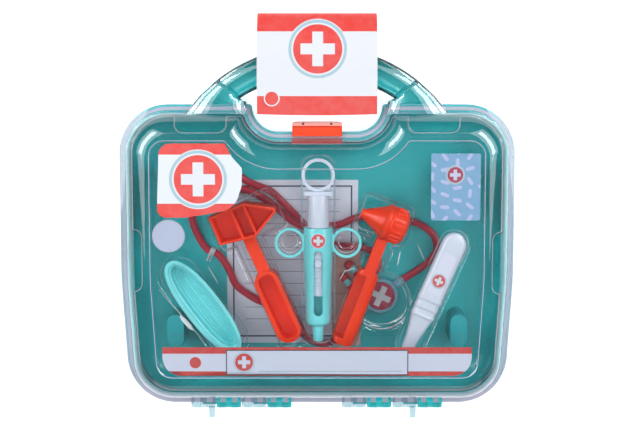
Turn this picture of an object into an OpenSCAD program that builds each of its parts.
// Toy doctor case lying on its back: X across, Y towards the handle, Z out of the clear lid.
// The origin is the centre of the flat back of the teal tray.

/* [Case] */
// Width of the case over its rim
case_w = 271.5; // [268:0.5:276]
// Height of the case over its rim, without the handle
case_h = 208; // [205:0.5:212]
// Depth of the teal tray, from its back to the parting plane
base_depth = 30; // [29:0.5:33]
// Depth of the clear lid, from the parting plane to its front
lid_depth = 28; // [27:0.5:32]
// Wall of both mouldings
wall = 1.8; // [1.5:0.1:2.2]
// Width of the rim flange
flange_w = 5; // [4.5:0.1:5.5]
// Thickness of each rim flange
flange_t = 2.5; // [2:0.1:3]
// Radius of the upper corners
top_r = 34; // [31:0.5:38]
// Radius of the lower corners
bottom_r = 34; // [31:0.5:38]
// Inward lean of the lower part of each side, in degrees
side_lean = 3.5; // [2:0.25:5]
// Radius of the round back edge of the tray
base_round = 16; // [13:0.5:17]
// Height of the round front edge of the lid
lid_round_h = 20; // [16:0.5:21]
// Distance from the rim to the step round the lid window
window_inset = 23.5; // [22:0.5:25]
// Depth of that step
window_step = 0.8; // [0.5:0.1:1.2]

/* [Notch] */
// Depth of the notch under the handle
notch_depth = 18.8; // [17:0.2:20]
// Half the width of its flat bottom
notch_flat = 26.5; // [25:0.5:29]
// Radius of its inner curve
notch_r = 18; // [16.5:0.5:19]

/* [Handle] */
// Radius of the handle's outer arc
grip_outer_r = 110.5; // [108:0.5:113]
// Radius of the handle's inner arc
grip_inner_r = 98.5; // [97:0.5:100]
// Height of the outer arc's centre over the middle of the case
grip_outer_y = 33.5; // [32:0.5:35]
// Height of the inner arc's centre over the middle of the case
grip_inner_y = 24.5; // [23:0.5:25]
// Thickness of the handle, both halves
grip_t = 26; // [24:0.5:27]
// Radius of the handle's long edges
grip_round = 6; // [4:0.5:7]

/* [Hinge] */
// Radius of the knuckles
knuckle_r = 4.2; // [4:0.1:4.4]
// Length of one knuckle
knuckle_l = 16.8; // [15.5:0.1:17]
// Distance from one knuckle to the next
knuckle_pitch = 17.7; // [17.6:0.1:18]
// Radius of the hinge pins
hinge_pin_r = 1.8; // [1.5:0.1:2]
// Reach of each hinge pin into its bore
hinge_pin_reach = 9; // [6:0.5:12]
// Reach of the stop fins from the hinge axis
fin_reach = 11.4; // [9:0.2:11.6]

/* [Latch] */
// Width of the clasp at the front
clasp_w = 34; // [32:0.5:38]
// Wall of the clasp
clasp_t = 2.2; // [1.8:0.1:2.6]
// Radius of the pin that the clasp turns on
latch_pin_r = 1.5; // [1.2:0.1:1.8]
// Height of that pin over the back of the case
latch_pin_z = 17; // [16:0.5:18]
// Distance between the middles of the two latch ears
latch_ear_pitch = 19.2; // [17:0.2:21]

/* [Insert] */
// Thickness of the formed insert
insert_t = 0.9; // [0.7:0.1:1.2]
// Gap between the insert and the side walls
insert_gap = 0.8; // [0.6:0.1:1.5]

/* [Syringe] */
// Radius of the barrel at its mouth
barrel_r = 10; // [9.6:0.1:10.4]
// Length of the barrel without its nozzle
barrel_l = 68; // [64:0.5:70]
// Radius of the plunger's outer part
plunger_r = 7.5; // [7.2:0.1:7.8]
// Travel of the plunger
plunger_travel = 18; // [14:0.5:18]
// Outer radius of the thumb ring
thumb_ring_r = 11.4; // [11:0.1:12]
// Outer radius of the finger rings
finger_ring_r = 10.4; // [10:0.1:10.8]

/* [Hammer and otoscope] */
// Height of the hammer, from its floor to its rim
hammer_h = 22; // [19:0.5:24]
// Length of the hammer head
hammer_head_l = 45; // [43:0.5:46]
// Wall of the hammer moulding
hammer_wall = 1.6; // [1.3:0.1:2]
// Length of the hammer grip
hammer_grip_l = 53; // [50:0.5:54]
// Width of the hammer grip
hammer_grip_w = 17; // [16:0.5:18]
// Length of the otoscope grip
oto_grip_l = 55; // [52:0.5:57]
// Radius of the wide end of the otoscope cone
cone_r = 11.8; // [11:0.1:12.2]
// Radius of the otoscope cap
cap_r = 13; // [12.5:0.1:13.4]

/* [Stethoscope] */
// Outer diameter of the tubes
tube_d = 5.2; // [4.6:0.1:5.4]
// Radius of the chest piece
chest_r = 12.8; // [12:0.1:13]
// Radius of the red chest disc
chest_disc_r = 10.1; // [9.5:0.1:10.6]

/* [Dish and thermometer] */
// Length of the dish
dish_l = 78.5; // [74:0.5:79]
// Width of the dish
dish_w = 25; // [23:0.5:26]
// Width of the thermometer's round end
thermo_w = 17.2; // [16:0.2:18]
// Length of the thermometer
thermo_l = 92; // [86:0.5:93]

/* [Cards] */
// Width of the header card
header_w = 81; // [78:0.5:82]
// Height of the header card from its fold to its lower edge
header_h = 68.5; // [66:0.5:70]
// Thickness of the header card
header_t = 0.5; // [0.4:0.1:0.8]
// Room between the name band and the case's side
band_side = 30.75; // [30.25:0.25:33.25]
// Height of the name band
band_h = 19.8; // [18:0.2:20.2]
// Width of the pill card
pill_w = 33.8; // [32:0.2:35]
// Height of the pill card
pill_h = 46; // [44:0.5:47]
// Width of the paper form
form_w = 93.4; // [90:0.2:94]
// Height of the paper form
form_h = 117.5; // [112:0.5:119]
// Width of the leaflet
leaflet_w = 20.5; // [18:0.5:21]
// Length of the leaflet
leaflet_l = 75; // [70:0.5:78]
// Radius of the seal sticker
seal_r = 11; // [10:0.1:11.4]

/* [Hidden] */
$fn = 48;

// Clearances: still pieces, running fits and pieces that pass one another
seat_gap = 0.3;
run_gap = 0.06;
cut = 1;

// Levels and lines that several pieces share
top_y = case_h / 2;
notch_y = top_y - notch_depth;
floor_z = wall;
front_z = base_depth + lid_depth;
window_z = front_z - window_step;
ceiling_z = window_z - wall;
web_z = base_depth;
web_top = web_z + insert_t;
draft = 0.5;
lid_round_w = window_inset - flange_w - draft;
ceiling_inset = window_inset + 0.5;
notch_fillet = 2.5;
side_r = 260;

// Points on an arc about c, from angle a0 to a1
function arc(c, r, a0, a1, n) =
    [for (k = [0:n]) let (a = a0 + (a1 - a0) * k / n) [c[0] + r * cos(a), c[1] + r * sin(a)]];

// All but the first point of a list
function rest(p) = [for (k = [1:len(p) - 1]) p[k]];

// The same points seen in a mirror across Y, in reverse order
function mirrored(p) = [for (k = [len(p) - 1:-1:0]) [-p[k][0], p[k][1]]];

// Right half of the case outline, moved inwards by d, from the hinge side round to the notch
function half_outline(d) =
    let (side_c = [case_w / 2 - side_r, -8],
         n = [cos(side_lean), -sin(side_lean)],
         reach = n[0] * side_c[0] + n[1] * side_c[1] + side_r,
         by = -top_y + bottom_r,
         bx = (reach - bottom_r - n[1] * by) / n[0],
         nc = [notch_flat, notch_y + notch_r],
         fy = top_y - d - notch_fillet,
         fr = notch_r + d + notch_fillet,
         fx = nc[0] + sqrt(fr * fr - (fy - nc[1]) * (fy - nc[1])),
         turn = atan2(nc[1] - fy, nc[0] - fx),
         fa = turn < 0 ? turn + 360 : turn)
    concat(
        arc([bx, by], bottom_r - d, -90, -side_lean, 8),
        arc(side_c, side_r - d, -side_lean, 0, 2),
        arc([case_w / 2 - top_r, top_y - top_r], top_r - d, 0, 90, 8),
        arc([fx, fy], notch_fillet, 90, fa, 3),
        rest(arc(nc, notch_r + d, fa - 180, -90, 8)));

// The whole case outline, moved inwards by d
function outline(d) = concat(half_outline(d), mirrored(half_outline(d)));

// Stacks a flat outline at height z
function at_z(p, z) = [for (q = p) [q[0], q[1], z]];

// Closed skin through rings that all have the same number of points; the rings of a channel go out
// along one side of its wall and back along the other, so its ends are closed across the wall
module skin(rings, is_channel = false) {
    n = len(rings[0]);
    m = len(rings);
    end = is_channel
        ? [for (k = [0:n / 2 - 2]) [k, k + 1, n - 2 - k, n - 1 - k]]
        : [[for (k = [0:n - 1]) k]];
    polyhedron(
        points = [for (r = rings) each r],
        faces = concat(
            end,
            [for (j = [0:m - 2]) for (k = [0:n - 1])
                let (a = j * n + k, b = j * n + (k + 1) % n)
                each [[a, b + n, b], [a, a + n, b + n]]],
            [for (f = end) [for (k = [len(f) - 1:-1:0]) (m - 1) * n + f[k]]]),
        convexity = 10);
}

// Rounded rectangle centred on the origin
function rounded_box(w, h, r, n = 4) =
    concat(
        arc([w / 2 - r, h / 2 - r], r, 0, 90, n), arc([r - w / 2, h / 2 - r], r, 90, 180, n),
        arc([r - w / 2, r - h / 2], r, 180, 270, n), arc([w / 2 - r, r - h / 2], r, 270, 360, n));

// Moves each edge of a convex counter-clockwise outline inwards by d
function inset(p, d) =
    let (n = len(p))
    [for (k = [0:n - 1])
        let (a = p[(k + n - 1) % n], b = p[k], c = p[(k + 1) % n],
             u = (b - a) / norm(b - a), v = (c - b) / norm(c - b),
             nu = [-u[1], u[0]], nv = [-v[1], v[0]])
        b + (nu + nv) * d / (1 + nu * nv)];

// Round tube with closed ends along a list of points
module tube(path, d, sides = 8) {
    n = len(path);
    skin([for (k = [0:n - 1])
        let (t = path[min(k + 1, n - 1)] - path[max(k - 1, 0)],
             u = t / norm(t),
             s = cross([0, 0, 1], u),
             side = s / norm(s),
             up = cross(u, side))
        [for (j = [0:sides - 1]) let (a = 360 * j / sides)
            path[k] + d / 2 * (cos(a) * side + sin(a) * up)]]);
}

// Case: rings of the two shells, outside first
base_outer = [for (k = [0:5]) let (a = 90 * k / 5)
    [flange_w + draft + base_round * (1 - sin(a)), base_round * (1 - cos(a))]];
base_inner = [for (k = [5:-1:0]) let (a = 90 * k / 5)
    [flange_w + draft + wall + (base_round - wall) * (1 - sin(a)),
        wall + (base_round - wall) * (1 - cos(a))]];
base_rings = concat(base_outer,
    [[flange_w, base_depth - flange_t], [0, base_depth - flange_t], [0, base_depth],
        [flange_w + wall, base_depth]],
    base_inner);
lid_outer = [for (k = [0:5]) let (a = 90 * k / 5)
    [flange_w + draft + lid_round_w * (1 - cos(a)), front_z - lid_round_h * (1 - sin(a))]];
lid_inner = [for (k = [5:-1:0]) let (a = 90 * k / 5)
    [ceiling_inset + (flange_w + draft + wall - ceiling_inset) * cos(a),
        ceiling_z - (lid_round_h - wall) * (1 - sin(a))]];
lid_rings = concat(lid_inner,
    [[flange_w + wall, base_depth], [0, base_depth], [0, base_depth + flange_t],
        [flange_w, base_depth + flange_t]],
    lid_outer, [[window_inset + window_step, window_z]]);

// Handle: the mitred crease, the foot on the wall and the sections between
crease_out = 38.2;
crease_in = 32.2;
foot_y = top_y - flange_w - wall + 0.2;
foot_in_x = 46;
grip_steps = 16;
function grip_out(a) = [grip_outer_r * sin(a), grip_outer_y + grip_outer_r * cos(a)];
function grip_in(a) = [grip_inner_r * sin(a), grip_inner_y + grip_inner_r * cos(a)];
foot_out_x = sqrt(grip_outer_r * grip_outer_r - (foot_y - grip_outer_y) * (foot_y - grip_outer_y));
knee_a = (crease_out + acos((foot_y - grip_outer_y) / grip_outer_r)) / 2;
knee_out = grip_out(knee_a);
knee_in = [foot_in_x + 2.5, top_y + 2];
grip_spans = concat(
    [[[-foot_out_x, foot_y], [-foot_in_x, foot_y]],
        [[-knee_out[0], knee_out[1]], [-knee_in[0], knee_in[1]]]],
    [for (k = [0:grip_steps]) let (t = 2 * k / grip_steps - 1)
        [grip_out(crease_out * t), grip_in(crease_in * t)]],
    [[knee_out, knee_in], [[foot_out_x, foot_y], [foot_in_x, foot_y]]]);

// Channel section across a width w: distance in from the outer edge and depth below the parting
// plane, as an outer skin and back along an inner one
function channel(w, depth, r, t) =
    concat(
        [[0, 0]], arc([r, depth - r], r, 180, 90, 3), arc([w - r, depth - r], r, 90, 0, 3),
        [[w, 0], [w - t, 0]],
        arc([w - r, depth - r], r - t, 0, 90, 3), arc([r, depth - r], r - t, 90, 180, 3),
        [[t, 0]]);

// One half of the handle; side is -1 for the tray's half and 1 for the lid's
module grip_half(side) {
    rings = [for (s = grip_spans)
        let (w = norm(s[1] - s[0]), u = (s[1] - s[0]) / w)
        [for (c = channel(w, grip_t / 2, grip_round, wall))
            [s[0][0] + u[0] * c[0], s[0][1] + u[1] * c[0], base_depth + side * c[1]]]];
    skin(side > 0 ? rings : [for (k = [len(rings) - 1:-1:0]) rings[k]], true);
}

// Hinge
hinge_y = -top_y;
hinge_left = -87.9;
hinge_right = 17.2;
hinge_gap = knuckle_pitch - knuckle_l;

// Left end of knuckle k in the row that starts at x
function knuckle_x(x, k) = x + k * knuckle_pitch;

module along_x(x, r, l) {
    translate([x, hinge_y, base_depth]) rotate([0, 90, 0]) cylinder(r = r, h = l);
}

// Room in a flange for the other half's knuckle
module knuckle_room(x) {
    room = knuckle_r + hinge_gap / 2;
    translate([x - hinge_gap / 2, hinge_y - room, base_depth - room])
        cube([knuckle_l + hinge_gap, 2 * room, 2 * room]);
}

// Latch
latch_y = notch_y + 0.9;
latch_boss_r = latch_pin_r + 1.2;
clasp_out_y = latch_y + latch_boss_r + clasp_t + 0.4;
clasp_hook_y = notch_y - 3;
clasp_hook_z = base_depth + flange_t + seat_gap;
clasp_top_z = clasp_hook_z + clasp_t;
clasp_low_z = latch_pin_z - 7;
latch_ear_t = 3;

module latch_ears() {
    for (s = [-1, 1]) translate([s * latch_ear_pitch / 2 - latch_ear_t / 2, 0, 0]) {
        translate([0, latch_y, latch_pin_z]) rotate([0, 90, 0])
            cylinder(r = latch_boss_r, h = latch_ear_t);
        translate([0, notch_y - flange_w - wall / 2, latch_pin_z - latch_boss_r])
            cube([latch_ear_t, latch_y - notch_y + flange_w + wall / 2, 2 * latch_boss_r]);
    }
}

// Posts that carry the insert: middle and size
post_w = 12;
posts = [[-98.8, -54, 24], [98.8, -54, 24], [-106, 60, 14], [106, 60, 14]];

module insert_post(x, y, l) {
    h = web_z - floor_z + wall / 2;
    translate([x, y, floor_z - wall / 2]) {
        translate([-post_w / 2, -l / 2, 0]) cube([post_w, l - post_w / 2, h]);
        translate([0, l / 2 - post_w / 2, 0]) cylinder(d = post_w, h = h);
    }
}

module base_shell() {
    color([0.2, 0.62, 0.63]) difference() {
        union() {
            difference() {
                union() {
                    skin([for (r = base_rings) at_z(outline(r[0]), r[1])]);
                    grip_half(-1);
                }
                for (k = [0, 2]) {
                    knuckle_room(knuckle_x(hinge_left, k));
                    knuckle_room(knuckle_x(hinge_right, k));
                }
            }
            for (x = [hinge_left, hinge_right]) for (k = [1, 3]) {
                along_x(knuckle_x(x, k), knuckle_r, knuckle_l);
                along_x(knuckle_x(x, k) - hinge_gap - hinge_pin_reach, hinge_pin_r,
                    hinge_gap + hinge_pin_reach + cut);
            }
            latch_ears();
            for (p = posts) insert_post(p[0], p[1], p[2]);
        }
        translate([-clasp_w / 2, latch_y, latch_pin_z]) rotate([0, 90, 0])
            cylinder(r = latch_pin_r + run_gap, h = clasp_w);
    }
}

// Fin that meets the tray's wall when the lid is fully open
fin_w = 4;
module stop_fin(x) {
    translate([x - fin_w, hinge_y, base_depth]) rotate([90, 0, 90]) linear_extrude(fin_w)
        polygon([[-fin_reach, -1], [-knuckle_r / 2, -knuckle_r * 0.8],
            [-knuckle_r / 2, knuckle_r * 0.8], [-fin_reach, 1]]);
}

module lid_shell() {
    color([0.8, 0.9, 0.95, 0.4]) difference() {
        union() {
            difference() {
                union() {
                    skin([for (r = lid_rings) at_z(outline(r[0]), r[1])]);
                    grip_half(1);
                }
                for (k = [1, 3]) {
                    knuckle_room(knuckle_x(hinge_left, k));
                    knuckle_room(knuckle_x(hinge_right, k));
                }
            }
            for (x = [hinge_left, hinge_right]) for (k = [0, 2])
                along_x(knuckle_x(x, k), knuckle_r, knuckle_l);
            stop_fin(knuckle_x(hinge_left, 0) + knuckle_l - 0.5);
            stop_fin(knuckle_x(hinge_right, 2) + knuckle_l - 0.5);
        }
        for (x = [hinge_left, hinge_right]) for (k = [0, 2])
            along_x(knuckle_x(x, k) + knuckle_l - hinge_pin_reach - seat_gap,
                hinge_pin_r + run_gap, hinge_pin_reach + seat_gap + cut);
    }
}

module latch_clasp() {
    rear_w = clasp_w - 4;
    cheek_t = 2;
    boss_x = rear_w / 2 - cheek_t;
    window = [2.6, 4 * clasp_t, 2];
    color([0.9, 0.27, 0.13]) difference() {
        union() {
            // plate across both flanges, narrower towards the back
            translate([0, clasp_out_y, 0]) rotate([90, 0, 0]) linear_extrude(clasp_t)
                polygon(concat(
                    arc([rear_w / 2 - 3, clasp_low_z + 3], 3, 270, 350, 4),
                    [[clasp_w / 2, clasp_top_z - 4], [clasp_w / 2, clasp_top_z],
                        [-clasp_w / 2, clasp_top_z], [-clasp_w / 2, clasp_top_z - 4]],
                    arc([3 - rear_w / 2, clasp_low_z + 3], 3, 190, 270, 4)));
            // hook over the lid's flange
            translate([-clasp_w / 2, clasp_hook_y, clasp_hook_z])
                cube([clasp_w, clasp_out_y - clasp_hook_y - clasp_t / 2, clasp_t]);
            // cheeks round the pin
            for (s = [-1, 1]) translate([s > 0 ? boss_x : -boss_x - cheek_t, 0, 0]) {
                translate([0, latch_y, latch_pin_z]) rotate([0, 90, 0])
                    cylinder(r = latch_boss_r, h = cheek_t);
                translate([0, latch_y, latch_pin_z - latch_boss_r])
                    cube([cheek_t, clasp_out_y - latch_y - clasp_t / 2, 2 * latch_boss_r]);
            }
        }
        translate([-clasp_w / 2, latch_y, latch_pin_z]) rotate([0, 90, 0])
            cylinder(r = latch_pin_r + run_gap / 3, h = clasp_w);
        for (s = [-1, 1]) translate([s * latch_ear_pitch / 2, clasp_out_y, latch_pin_z])
            cube(window, center = true);
    }
}

module latch_pin() {
    l = clasp_w - 4;
    color([0.86, 0.24, 0.12]) translate([-l / 2, latch_y, latch_pin_z]) rotate([0, 90, 0])
        cylinder(r = latch_pin_r, h = l);
}

// Places of the tools: each frame has its grip along -Y
hammer_at = [-51.5, 22];
hammer_turn = 23.9;
oto_at = [46.5, 23.7];
oto_turn = -20.7;
dish_at = [-79, -36.4];
dish_turn = 37.1;
thermo_at = [79.8, -27.4];
thermo_turn = -23.5;
syringe_x = 0.7;
chest_at = [44.9, -32.6];
pill_side = 40.55;
pill_at = [case_w / 2 - pill_side, 47.2];

module placed(at, turn, z = 0) {
    translate([at[0], at[1], z]) rotate([0, 0, turn]) children();
}

// Otoscope grip, beside the middle of its head
oto_grip_y = -36;
oto_grip_x = 2.8;
oto_grip_w = 15;
oto_grip_h = 16;
oto_neck_w = 7.6;
cone_l = 17.2;
cap_l = 16;

// Levels of the tools in the insert
hammer_z = 18;
head_z = 33;
oto_floor = head_z - cap_r - seat_gap;
dish_floor = 20;
thermo_floor = 24.5;
ring_t = 3.4;
syringe_z = web_top + seat_gap + ring_t / 2;
syringe_floor = syringe_z - barrel_r - seat_gap;
well_floor = 24;
finger_x = 19.5;
finger_y = 8.8;
barrel_top = 19.3;

// Hammer head in its own frame, drawn 45 long and scaled to its length
hammer_k = hammer_head_l / 45;
hammer_grip_x = -1.2;
hammer_head = hammer_k
    * [[-19.5, -7], [-5.5, -9.5], [5, -11.5], [24.5, -1.5], [25.5, 1], [7, 13], [-19, 13.5]];

// Pockets of the insert: middle, turn, size, corner radius and floor height
fit_gap = 0.8;
grip_mid = -51;
pockets = [
    [[syringe_x, 3], 0, [2 * (barrel_r + fit_gap), 130], 8, syringe_floor],
    [[syringe_x - finger_x, finger_y], 0, [14.4, 14.4], 7, well_floor],
    [[syringe_x + finger_x, finger_y], 0, [14.4, 14.4], 7, well_floor],
    [hammer_at + turned(hammer_k * [3, 1], hammer_turn), hammer_turn, hammer_k * [47.5, 28], 4,
        hammer_z - seat_gap],
    [hammer_at + turned([hammer_grip_x, grip_mid], hammer_turn), hammer_turn,
        [hammer_grip_w + 2 * fit_gap, 84], 5, hammer_z - seat_gap],
    [oto_at + turned([(cap_l - cone_l) / 2, 0], oto_turn), oto_turn,
        [cone_l + cap_l + 4 * fit_gap, 2 * (cap_r + fit_gap)], 4, oto_floor],
    [oto_at + turned([oto_grip_x, grip_mid - 1], oto_turn), oto_turn,
        [oto_grip_w + 2 * fit_gap, 84], 4, oto_floor],
    [dish_at, dish_turn, [dish_w + 2 * fit_gap, dish_l + 2 * fit_gap], 12.8, dish_floor],
    [thermo_at, thermo_turn, [thermo_w + 2 * fit_gap, thermo_l + 2 * fit_gap], 9, thermo_floor],
    [chest_at, 0, [39, 39], 19.4, well_floor]
];
function turned(p, a) = [p[0] * cos(a) - p[1] * sin(a), p[0] * sin(a) + p[1] * cos(a)];

// Lifting notches in the insert's edge: middle and size
lift_notches = [[-128, -4, 12, 42], [128, -6, 12, 42], [-80, 97, 34, 24], [80, 97, 34, 24]];
insert_d = flange_w + wall + insert_gap;
skirt_h = 7;

module pocket_prism(p, grow, z0, z1) {
    placed(p[0], p[1], z0) linear_extrude(z1 - z0)
        polygon(rounded_box(p[2][0] + 2 * grow, p[2][1] + 2 * grow, p[3] + grow));
}

module insert_tray() {
    color([0.85, 0.92, 0.95, 0.35]) difference() {
        union() {
            translate([0, 0, web_z]) linear_extrude(insert_t) polygon(outline(insert_d));
            difference() {
                translate([0, 0, web_z - skirt_h]) linear_extrude(skirt_h + insert_t / 2)
                    polygon(outline(insert_d));
                translate([0, 0, web_z - skirt_h - cut]) linear_extrude(skirt_h + 2 * cut)
                    polygon(outline(insert_d + insert_t));
            }
            for (p = pockets) pocket_prism(p, insert_t, p[4] - insert_t, web_z + insert_t / 2);
            // corner clips of the pill card
            for (s = [-1, 1]) translate([pill_at[0] + s * pill_w / 2, pill_at[1] - pill_h / 2, 0]) {
                translate([s > 0 ? seat_gap : -seat_gap - insert_t, -seat_gap, web_z + insert_t / 2])
                    cube([insert_t, 6, pill_t + insert_t]);
                translate([s > 0 ? -6 : 0, -seat_gap - insert_t, web_z + insert_t / 2])
                    cube([6, insert_t, pill_t + insert_t]);
            }
        }
        for (p = pockets) pocket_prism(p, 0, p[4], web_top + cut);
        for (q = lift_notches) translate([q[0], q[1], web_z - skirt_h - 2 * cut])
            linear_extrude(skirt_h + 4 * cut) polygon(rounded_box(q[2], q[3], 5));
    }
}

// Cards and stickers
paper_t = 0.3;
leaflet_t = 0.4;
pill_t = 2;
sticker_t = 0.3;

band_w = case_w - 2 * band_side;
module name_band() {
    low = ceiling_inset + 0.4 - top_y;
    r = 13;
    color([0.95, 0.93, 0.96]) translate([0, 0, ceiling_z - paper_t]) linear_extrude(paper_t)
        polygon(concat(
            arc([r - band_w / 2, low + r], r, 180, 270, 8),
            arc([band_w / 2 - r, low + r], r, 270, 360, 8),
            [[band_w / 2, low + band_h], [-band_w / 2, low + band_h]]));
}

// The label fills the window from its upper left corner to the notch; it is drawn 62.25 wide
label_k = (case_w / 2 - notch_flat - 2 * window_inset) / 62.25;
module corner_label() {
    color([0.95, 0.6, 0.6]) translate([window_inset - case_w / 2, top_y - window_inset, window_z])
        linear_extrude(sticker_t) polygon(label_k * concat(
            arc([14.25, -9.5], 7.6, 90, 176, 4), arc([11.25, -45.5], 6, 184, 270, 4),
            [[23.95, -51.5], [33.35, -50.1]], arc([45.25, -33], 15, 290, 345, 5),
            [[61.85, -30.5], [62.25, -18.5], [55.65, -11], [50.75, -1.9]]));
}

seal_gap = 0.85;
seal_y = 16.3;
module seal_sticker() {
    color([0.93, 0.92, 0.96])
        translate([ceiling_inset - case_w / 2 + seal_gap + seal_r, seal_y, ceiling_z - sticker_t])
            cylinder(r = seal_r, h = sticker_t);
}

fold_y = 165.5;
header_gap = grip_t / 2 + seat_gap;
module header_card() {
    low = fold_y - header_h;
    knee = grip_outer_y + grip_outer_r - 3;
    inner = [[low, -header_gap], [knee, -header_gap], [fold_y - 1, 0], [knee, header_gap],
        [low, header_gap]];
    outer = [for (k = [len(inner) - 1:-1:0]) let (p = inner[k])
        p[1] == 0 ? [fold_y, 0] : [p[0], p[1] + sign(p[1]) * header_t]];
    color([0.97, 0.97, 0.98]) translate([-header_w / 2, 0, base_depth])
        rotate([90, 0, 90]) linear_extrude(header_w) polygon(concat(inner, outer));
}

module paper_form() {
    color([0.8, 0.82, 0.9]) translate([-64.4, -68, floor_z]) cube([form_w, form_h, paper_t]);
}

module leaflet() {
    color([0.75, 0.55, 0.5]) translate([10.5, -70, floor_z + paper_t])
        cube([leaflet_w, leaflet_l, leaflet_t]);
}

module pill_card() {
    color([0.5, 0.7, 0.86]) translate([pill_at[0], pill_at[1], web_top])
        linear_extrude(pill_t) polygon(rounded_box(pill_w, pill_h, 1, 2));
}

// Hammer: open moulding with a rim, two ribs in the head and a hollow grip
hammer_floor_t = 2;
neck_w = 8.3;
module hollow_grip(w, l, h, t, r) {
    difference() {
        linear_extrude(h) polygon(rounded_box(w, l, r, 8));
        translate([0, 0, hammer_floor_t]) linear_extrude(h)
            polygon(rounded_box(w - 2 * t, l - 2 * t, r - t, 8));
    }
}

module hammer() {
    grip_rim = 2.8;
    grip_y = -36;
    color([0.92, 0.27, 0.14]) placed(hammer_at, hammer_turn, hammer_z) {
        difference() {
            linear_extrude(hammer_h) polygon(hammer_head);
            translate([0, 0, hammer_floor_t]) difference() {
                linear_extrude(hammer_h) polygon(inset(hammer_head, hammer_wall));
                for (x = hammer_k * [-3, 6.3]) translate([x - hammer_wall / 2, -20, -cut])
                    cube([hammer_wall, 40, hammer_h - hammer_floor_t]);
            }
        }
        // neck
        translate([-neck_w / 2, grip_y - 2.3, 4]) cube([neck_w, -grip_y - 7.2, 12]);
        translate([hammer_grip_x, grip_y - hammer_grip_l / 2, 0])
            hollow_grip(hammer_grip_w, hammer_grip_l, hammer_h - 3, grip_rim,
                hammer_grip_w / 2 - 0.5);
    }
}

// Neck between grip and head; g is the clearance round it
module oto_neck(g) {
    low = oto_floor + seat_gap + oto_grip_h - oto_neck_w;
    placed(oto_at, oto_turn, low - g) translate([oto_grip_x - oto_neck_w / 2 - g, oto_grip_y - 1, 0])
        cube([oto_neck_w + 2 * g, -oto_grip_y - cap_r + 2 + g, oto_neck_w + 2 * g]);
}

module otoscope_handle() {
    grip_wall = 2.5;
    end_wall = 4.5;
    edge_r = 4;
    open_l = oto_grip_l - 2 * end_wall;
    open_x = 0.44 * oto_grip_w;
    color([0.92, 0.27, 0.14]) placed(oto_at, oto_turn, oto_floor + seat_gap)
        translate([oto_grip_x, oto_grip_y - oto_grip_l / 2, 0]) difference() {
            intersection() {
                linear_extrude(oto_grip_h) polygon(rounded_box(oto_grip_w, oto_grip_l, end_wall));
                translate([0, oto_grip_l, oto_grip_h / 2]) rotate([90, 0, 0])
                    linear_extrude(2 * oto_grip_l)
                        polygon(rounded_box(oto_grip_w, oto_grip_h, edge_r, 6));
            }
            // the channel opens to the side and, past its middle, upwards
            translate([-oto_grip_w / 2 - cut, -open_l / 2, grip_wall])
                cube([oto_grip_w - grip_wall + cut, open_l, oto_grip_h - 2 * grip_wall]);
            translate([-oto_grip_w / 2 - cut, -open_l / 2, grip_wall])
                cube([open_x + cut, open_l, oto_grip_h]);
        }
    color([0.92, 0.27, 0.14]) oto_neck(0);
}

module otoscope_head() {
    tip_r = 2.8;
    tip_bore = 1.9;
    skin_t = 1.5;
    ribs = 20;
    color([0.9, 0.25, 0.12]) difference() {
        placed(oto_at, oto_turn, head_z) rotate([0, 90, 0]) union() {
            rotate_extrude() polygon([[0, -cone_l], [tip_r, -cone_l], [cone_r, 0], [cap_r, 0],
                [cap_r, 3], [cap_r - 1.2, 3.6], [cap_r - 1.2, cap_l - 2.5],
                [cap_r - 3.4, cap_l], [0, cap_l]]);
            // grip ribs round the cap
            for (k = [0:ribs - 1]) rotate([0, 0, 360 * k / ribs])
                translate([cap_r - 1.4, 0, 3]) cylinder(r = 0.9, h = cap_l - 6);
        }
        placed(oto_at, oto_turn, head_z) rotate([0, 90, 0]) rotate_extrude()
            polygon([[0, -cone_l - cut], [tip_bore, -cone_l - cut], [tip_bore, -cone_l + 1],
                [cone_r - skin_t, 0], [cone_r - skin_t, 2], [0, 2]]);
        oto_neck(run_gap);
    }
}

// Syringe, its axis along Y
rod_r = plunger_r - 1.26;
rod_end = -27.6;
slot_w = 6.2;
slot_low = -41.2;
slot_high = 4.2;
deep_bore_top = barrel_top - plunger_travel - 0.8;
nozzle_l = 11;
ring_y = 55.6;
module along_y(y, z = syringe_z) {
    translate([syringe_x, y, z]) rotate([-90, 0, 0]) children();
}

module flat_ring(x, y, r, t) {
    translate([x, y, syringe_z - ring_t / 2]) difference() {
        cylinder(r = r, h = ring_t);
        translate([0, 0, -cut]) cylinder(r = r - t, h = ring_t + 2 * cut);
    }
}

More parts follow.
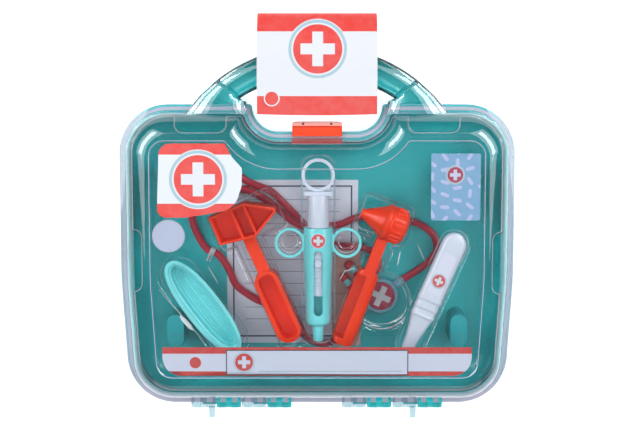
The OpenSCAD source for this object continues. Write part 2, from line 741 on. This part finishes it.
module syringe_barrel() {
    low_r = barrel_r - 1.6;
    low = barrel_top - barrel_l;
    color([0.4, 0.84, 0.84]) difference() {
        union() {
            along_y(0) rotate_extrude() polygon(concat(
                [[0, low - nozzle_l], [3.4, low - nozzle_l], [4.1, low - 0.5]],
                [for (a = [-80:16:0]) [low_r - 3.4 + 3.4 * cos(a), low + 3.4 + 3.4 * sin(a)]],
                [[barrel_r, barrel_top - 17], [barrel_r, barrel_top], [0, barrel_top]]));
            for (s = [-1, 1]) {
                flat_ring(syringe_x + s * finger_x, finger_y, finger_ring_r, 1.8);
                // webs between barrel and rings
                translate([syringe_x + s * (barrel_r + 0.6) - 2.4, finger_y - 6, syringe_z - ring_t / 2])
                    cube([4.8, 12, ring_t]);
            }
        }
        for (s = [-1, 1]) translate([syringe_x + s * finger_x, finger_y, syringe_z - ring_t])
            cylinder(r = finger_ring_r - 1.8, h = 2 * ring_t);
        along_y(deep_bore_top) cylinder(r = plunger_r + run_gap, h = barrel_l);
        along_y(rod_end - plunger_travel - 0.6) cylinder(r = rod_r + run_gap, h = barrel_l);
        // window slot in the front
        translate([syringe_x, 0, syringe_z]) linear_extrude(2 * barrel_r) polygon(concat(
            arc([0, slot_high - slot_w / 2], slot_w / 2, 0, 180, 8),
            arc([0, slot_low + slot_w / 2], slot_w / 2, 180, 360, 8)));
    }
}

module syringe_plunger() {
    shoulder = 2.8;
    shoulder_y = 41.7;
    boss_y = -4.7;
    color([0.97, 0.97, 0.98]) {
        flat_ring(syringe_x, ring_y, thumb_ring_r, 2.1);
        along_y(rod_end) cylinder(r = rod_r, h = barrel_top - rod_end + 1);
        along_y(barrel_top + 0.2) cylinder(r = plunger_r, h = shoulder_y - barrel_top);
        translate([syringe_x - 9.6, shoulder_y, syringe_z - 5]) cube([19.2, shoulder, 10]);
        translate([syringe_x, boss_y, syringe_z]) cylinder(r = slot_w / 2 - 0.5, h = rod_r + 2);
    }
}

badge_r = 5.2;
module syringe_badge() {
    color([0.9, 0.3, 0.28]) intersection() {
        translate([syringe_x, 11.2, syringe_z]) cylinder(r = badge_r, h = 2 * barrel_r);
        along_y(0) difference() {
            cylinder(r = barrel_r + sticker_t, h = 4 * badge_r);
            translate([0, 0, -cut]) cylinder(r = barrel_r + 0.02, h = 4 * badge_r + 2 * cut);
        }
    }
}

// Thermometer: flat-topped bar with one round end, cross ribs and a thin tip
thermo_h = 9.6;
module thermometer_body() {
    r = thermo_w / 2;
    tip_w = 9;
    // distance from the round end, width and height, all along the bar
    head = [for (a = [12:19.5:90])
        [r - r * cos(a), thermo_w * sin(a), thermo_h * (0.55 + 0.45 * sin(a))]];
    ribs = [for (k = [0:2]) let (t = 49 + 6 * k, w = thermo_w - 0.4 * k, h = thermo_h + 0.8)
        each [[t, w, thermo_h], [t + 0.6, w + 0.6, h], [t + 2.2, w + 0.4, h],
            [t + 2.8, w - 0.2, thermo_h]]];
    tip = [[70, thermo_w - 4, thermo_h - 1], [80, tip_w + 0.6, thermo_h - 3],
        [thermo_l - 4, tip_w, thermo_h - 4], [thermo_l - 1, tip_w - 3, thermo_h - 5.4],
        [thermo_l, tip_w - 7, thermo_h - 7.4]];
    color([0.96, 0.97, 0.98]) placed(thermo_at, thermo_turn, thermo_floor + seat_gap)
        skin([for (s = concat(head, ribs, tip))
            [for (q = rounded_box(s[1], s[2], min(s[1], s[2]) * 0.36, 3))
                [q[0], thermo_l / 2 - s[0], max(thermo_h, s[2]) / 2 + q[1]]]]);
}

thermo_label_y = 15.5;
module thermometer_label() {
    color([0.92, 0.9, 0.93])
        placed(thermo_at, thermo_turn, thermo_floor + seat_gap + thermo_h)
            translate([0, thermo_label_y, 0]) linear_extrude(sticker_t)
                polygon(rounded_box(10.4, 30, 2));
}

// Oval dish, stepped inside
dish_h = 14;
function oval(w, l, z, n = 32) =
    [for (k = [0:n - 1]) let (a = 360 * k / n, c = cos(a), s = sin(a))
        [w / 2 * sign(c) * pow(abs(c), 0.86), l / 2 * sign(s) * pow(abs(s), 0.86), z]];
module dish() {
    sink = dish_l - dish_w;
    // width and height of each ring; the length follows the width
    rings = [[9, 0], [11, 0.4], [15, 4], [19, 10], [21.4, dish_h - 1.2], [dish_w, dish_h - 1.2],
        [dish_w, dish_h], [dish_w - 5, dish_h], [dish_w - 6.5, dish_h - 1.4],
        [dish_w - 9, dish_h - 1.8], [dish_w - 10.2, 6], [dish_w - 12.4, 5.2],
        [dish_w - 13.4, 2.4], [dish_w - 16.4, 1.6]];
    color([0.42, 0.86, 0.86]) placed(dish_at, dish_turn, dish_floor + seat_gap)
        skin([for (r = rings) oval(r[0], r[0] + sink, r[1])]);
}

// Stethoscope
steth_z = floor_z + paper_t + leaflet_t + seat_gap + tube_d / 2;
ear_r = 3.4;
ear_z = floor_z + paper_t + leaflet_t + seat_gap + ear_r;
chest_h = 8.4;
stem_turn = 35;
stem_end = 20;
chest_seat = 1.2;

module chest_body() {
    color([0.62, 0.68, 0.88]) translate([chest_at[0], chest_at[1], floor_z]) difference() {
        union() {
            rotate_extrude() polygon([[0, 0], [chest_r - 3, 0], [chest_r - 0.8, 2], [chest_r, 4.5],
                [chest_r, chest_h - 1], [chest_r - 0.8, chest_h], [0, chest_h]]);
            rotate([0, 0, stem_turn]) translate([chest_r - 2, 0, steth_z - floor_z])
                rotate([0, 90, 0]) cylinder(r = 3.2, h = stem_end - chest_r + 2);
        }
        translate([0, 0, chest_h - chest_seat])
            cylinder(r = chest_disc_r + run_gap, h = 2 * chest_seat);
    }
}

module chest_disc() {
    color([0.62, 0.1, 0.16]) translate([chest_at[0], chest_at[1], floor_z + chest_h - chest_seat])
        rotate_extrude() polygon([[0, 0], [chest_disc_r, 0], [chest_disc_r, chest_seat],
            [chest_disc_r - 0.6, chest_seat + 0.5], [0, chest_seat + 0.5]]);
}

y_at = [-59, 43];
y_l = 11;
y_branch = 9;
y_split = 28;
y_end = [for (s = [1, -1])
    [y_at[0] - y_l - y_branch * cos(y_split), y_at[1] + s * y_branch * sin(y_split)]];
module y_connector() {
    stem_r = 3.2;
    branch_r = 2.9;
    hub = [8.4, 6.6, 6.6];
    color([0.4, 0.84, 0.84]) translate([y_at[0] - y_l, y_at[1], steth_z]) {
        rotate([0, 90, 0]) cylinder(r = stem_r, h = y_l);
        for (s = [1, -1]) rotate([0, 90, 180 - s * y_split]) cylinder(r = branch_r, h = y_branch);
        translate([-hub[0] / 4, 0, 0]) cube(hub, center = true);
    }
}

// Routes of the tubes: points set by hand, with a height only where one tube crosses another
stem_tip = [chest_at[0] + stem_end * cos(stem_turn), chest_at[1] + stem_end * sin(stem_turn)];
chest_route = [stem_tip, [71, -15], [80, -8], [85, 1], [82, 11], [73, 18], [62, 21.5], [50, 23],
    [38, 24], [27, 22.5], [17, 18.5], [8, 17, 6.5], [-1, 17, 9.5], [-10, 17.5, 11.4],
    [-19, 22, 9.5], [-30, 31, 6], [-39, 37.5], [-47, 41.6], [-53.5, 43], y_at];
long_route = [y_end[0], [-85.4, 51.1], [-91.4, 57.1], [-92, 65], [-86.5, 72], [-77.5, 73], [-69, 67.5],
    [-61.5, 58.8], [-52.5, 50.8], [-43, 46], [-33, 41.8], [-22, 31.5], [-11, 20], [-3, 11],
    [7, 5], [19, 2.5], [31, 1.8], [39.5, -1.8], [43.6, -8.5], [41.8, -15.2], [36.6, -19.4]];
short_route = [y_end[1], [-85, 35], [-89, 24], [-85, 11], [-78.4, 0.5], [-70.6, -3.1], [-63, -14],
    [-58, -25], [-49, -32.5], [-40, -37.5], [-29, -41.5], [-19, -45], [-13.5, -53], [-9, -62],
    [1, -67.5], [12, -66], [21, -58], [26, -47], [28.3, -37]];
function route(p) = [for (q = p) [q[0], q[1], len(q) > 2 ? q[2] : steth_z]];

module chest_tube() {
    color([0.66, 0.12, 0.2]) tube(route(chest_route), tube_d);
}

// Ends of the two ear connectors: where the tube meets them and which way they point
ear_ends = [[27.2, -15.5, 135], [23, -25, 127.5]];
ear_l = 4.6;

// The last stretch of a tube, in line with its connector
function lead(e) = [for (d = [5, 0]) [e[0] - d * cos(e[2]), e[1] - d * sin(e[2]), ear_z]];

module ear_tube_long() {
    color([0.66, 0.12, 0.2]) tube(concat(route(long_route), lead(ear_ends[0])), tube_d);
}

module ear_tube_short() {
    color([0.66, 0.12, 0.2]) tube(concat(route(short_route), lead(ear_ends[1])), tube_d);
}

module ear_connectors() {
    color([0.4, 0.84, 0.84]) for (e = ear_ends) translate([e[0], e[1], ear_z])
        rotate([0, 90, e[2]]) cylinder(r1 = ear_r - 0.4, r2 = ear_r - 0.9, h = ear_l);
}

module ear_tips() {
    color([0.9, 0.24, 0.2]) for (e = ear_ends) translate([e[0], e[1], ear_z])
        rotate([0, 90, e[2]]) rotate_extrude() polygon(concat([[0, ear_l], [ear_r, ear_l]],
            [for (a = [0:15:75]) [ear_r * cos(a), ear_l + 2 + 3.2 * sin(a)]], [[0, ear_l + 5.2]]));
}

module tube_tie() {
    color([0.93, 0.93, 0.94]) translate([-74.5, -1.3, steth_z]) rotate([0, 90, -24.8]) {
        rotate_extrude() translate([tube_d / 2 + 0.55, 0]) square([0.5, 3.6], center = true);
        for (s = [-1, 1]) translate([-tube_d / 2 - 1, 0, s * 0.9]) rotate([90, 0, s * 12])
            cylinder(r = 0.6, h = 7);
    }
}

base_shell();
lid_shell();
latch_clasp();
latch_pin();
insert_tray();
name_band();
corner_label();
seal_sticker();
header_card();
hammer();
otoscope_handle();
otoscope_head();
syringe_barrel();
syringe_plunger();
syringe_badge();
thermometer_body();
thermometer_label();
dish();
chest_body();
chest_disc();
y_connector();
chest_tube();
ear_tube_long();
ear_tube_short();
ear_connectors();
ear_tips();
tube_tie();
paper_form();
leaflet();
pill_card();
